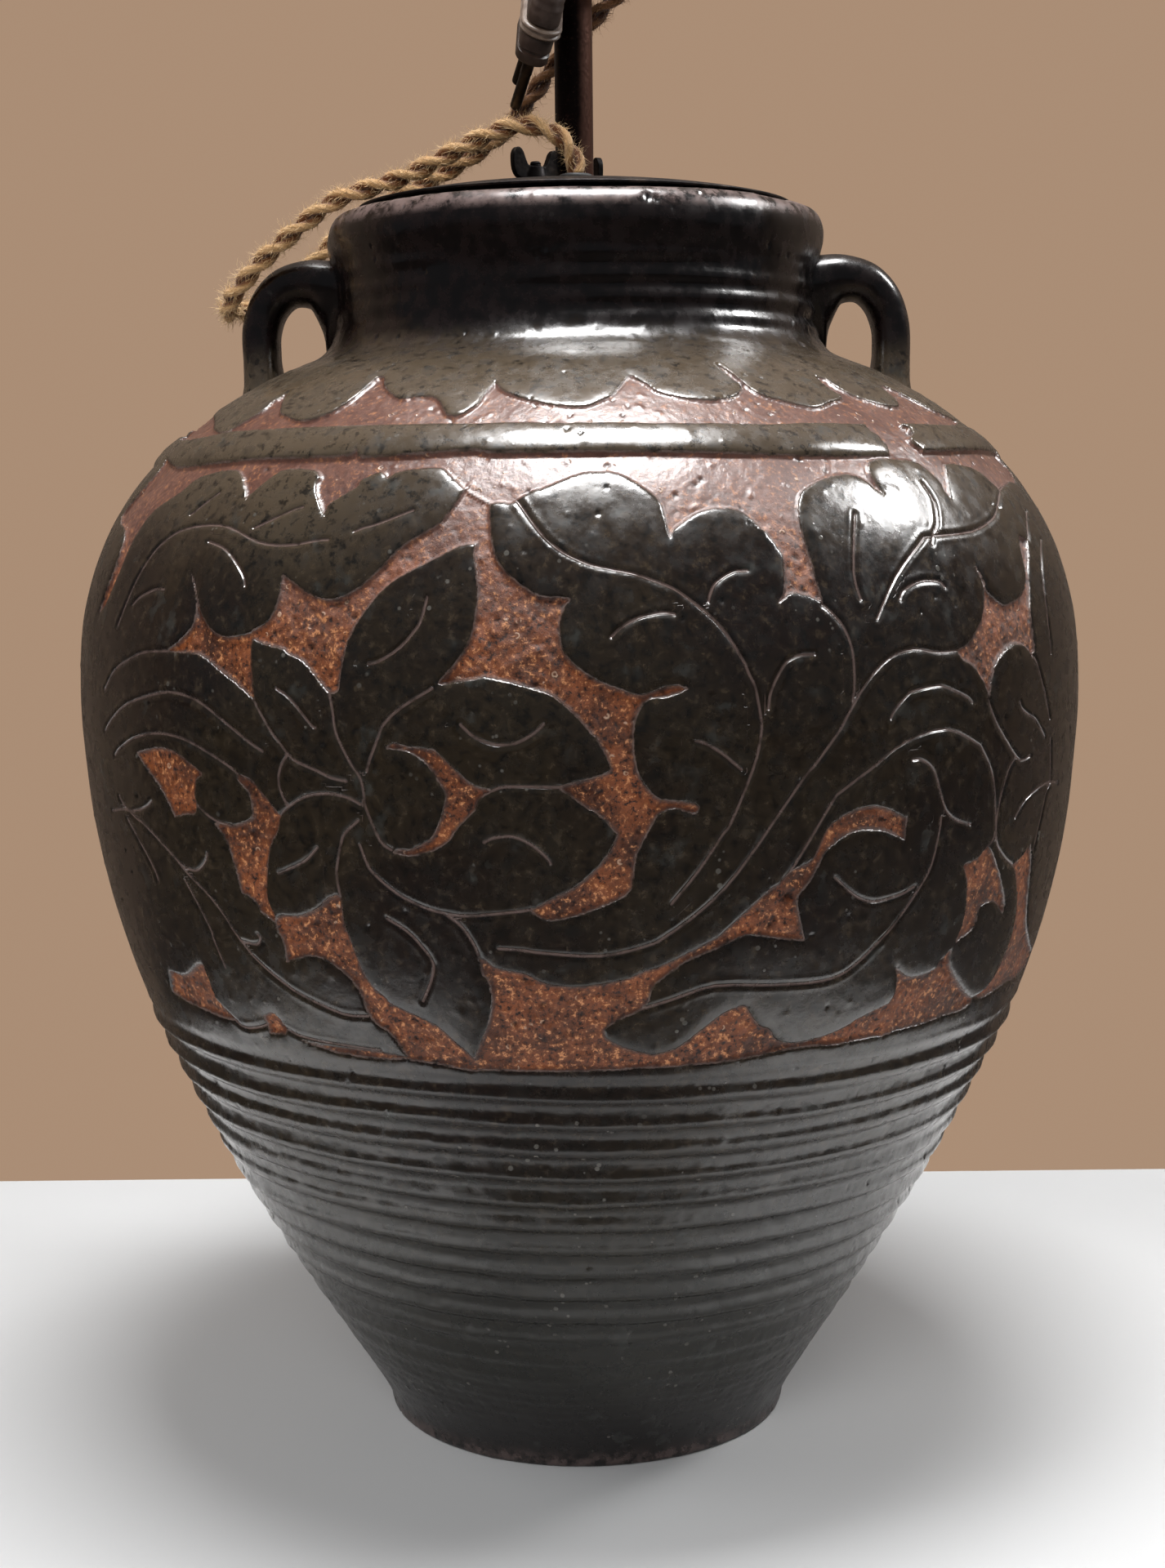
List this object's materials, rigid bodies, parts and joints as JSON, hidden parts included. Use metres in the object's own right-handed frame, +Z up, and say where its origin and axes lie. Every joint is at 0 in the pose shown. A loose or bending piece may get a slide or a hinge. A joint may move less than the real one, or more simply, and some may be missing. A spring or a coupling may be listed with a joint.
{
  "type": "two-handled stoneware jar lamp base",
  "caption": "Shouldered stoneware jar with strap handles, fitted as a lamp base: clamped mouth cap, upright stem, and a flex wound round it.",
  "frame": {"origin": "centre of the foot, on the plane it stands on", "axes": "+Z up along the jar's axis, +X towards the right handle, -Y towards the viewer of the picture"},
  "size_m": [0.344, 0.344, 0.646],
  "materials": {
    "glaze": "dark olive-black gloss glaze, carved through to a rust-coloured clay ground",
    "bronze": "dark bronze lacquer, satin",
    "steel": "plain, zinc-plated",
    "rubber": "matt",
    "jute": "two-strand twisted jute covering",
    "brown_moulding": "dark brown moulding, satin",
    "pale_collar": "brown moulding, satin",
    "pin_brass": "tarnished"
  },
  "bodies": {
    "jar": {"jar_body": "glaze", "handle_left": "glaze", "handle_right": "glaze"},
    "fitting": {"mouth_cap": "bronze", "cord_grommet": "rubber", "threaded_pipe": "steel", "stem_seat_washer": "bronze", "stem_tube": "bronze", "lower_washer": "steel", "lower_locknut": "steel", "stem_top_ring": "bronze", "wing_washer_left": "bronze", "wing_washer_right": "bronze", "inner_flex": "jute", "flex_run": "jute", "flex_winding": "jute", "flex_tail": "jute", "plug_shell": "brown_moulding", "plug_collar": "pale_collar", "plug_base": "brown_moulding", "plug_pin_rear": "pin_brass", "plug_pin_front": "pin_brass"},
    "left_wing_nut": {"wing_nut_left": "bronze"},
    "right_wing_nut": {"wing_nut_right": "bronze"},
    "clamp": {"clamp_bar": "steel", "clamp_stud_left": "steel", "clamp_stud_right": "steel", "clamp_nut_left": "steel", "clamp_nut_right": "steel"}
  },
  "joints": [
    {"name": "cap_lift", "type": "slide", "parent": "jar", "child": "fitting", "axis": [0, 0, 1], "range_m": [0, 0.12]},
    {"name": "left_wing_nut_turn", "type": "hinge", "parent": "fitting", "child": "left_wing_nut", "pos_m": [-0.01318, -0.01106, 0.429], "axis": [0, 0, 1], "range_deg": [0, 2610.5]},
    {"name": "right_wing_nut_turn", "type": "hinge", "parent": "fitting", "child": "right_wing_nut", "pos_m": [0.00445, 0.01661, 0.429], "axis": [0, 0, 1], "range_deg": [0, 2610.5]},
    {"name": "clamp_drop", "type": "slide", "parent": "jar", "child": "clamp", "axis": [0, 0, -1], "range_m": [0, 0.00507]}
  ],
  "couplings": [
    {"joint": "left_wing_nut_turn", "follows": "clamp_drop", "rad_per_m": 8976},
    {"joint": "right_wing_nut_turn", "follows": "clamp_drop", "rad_per_m": 8976}
  ]
}
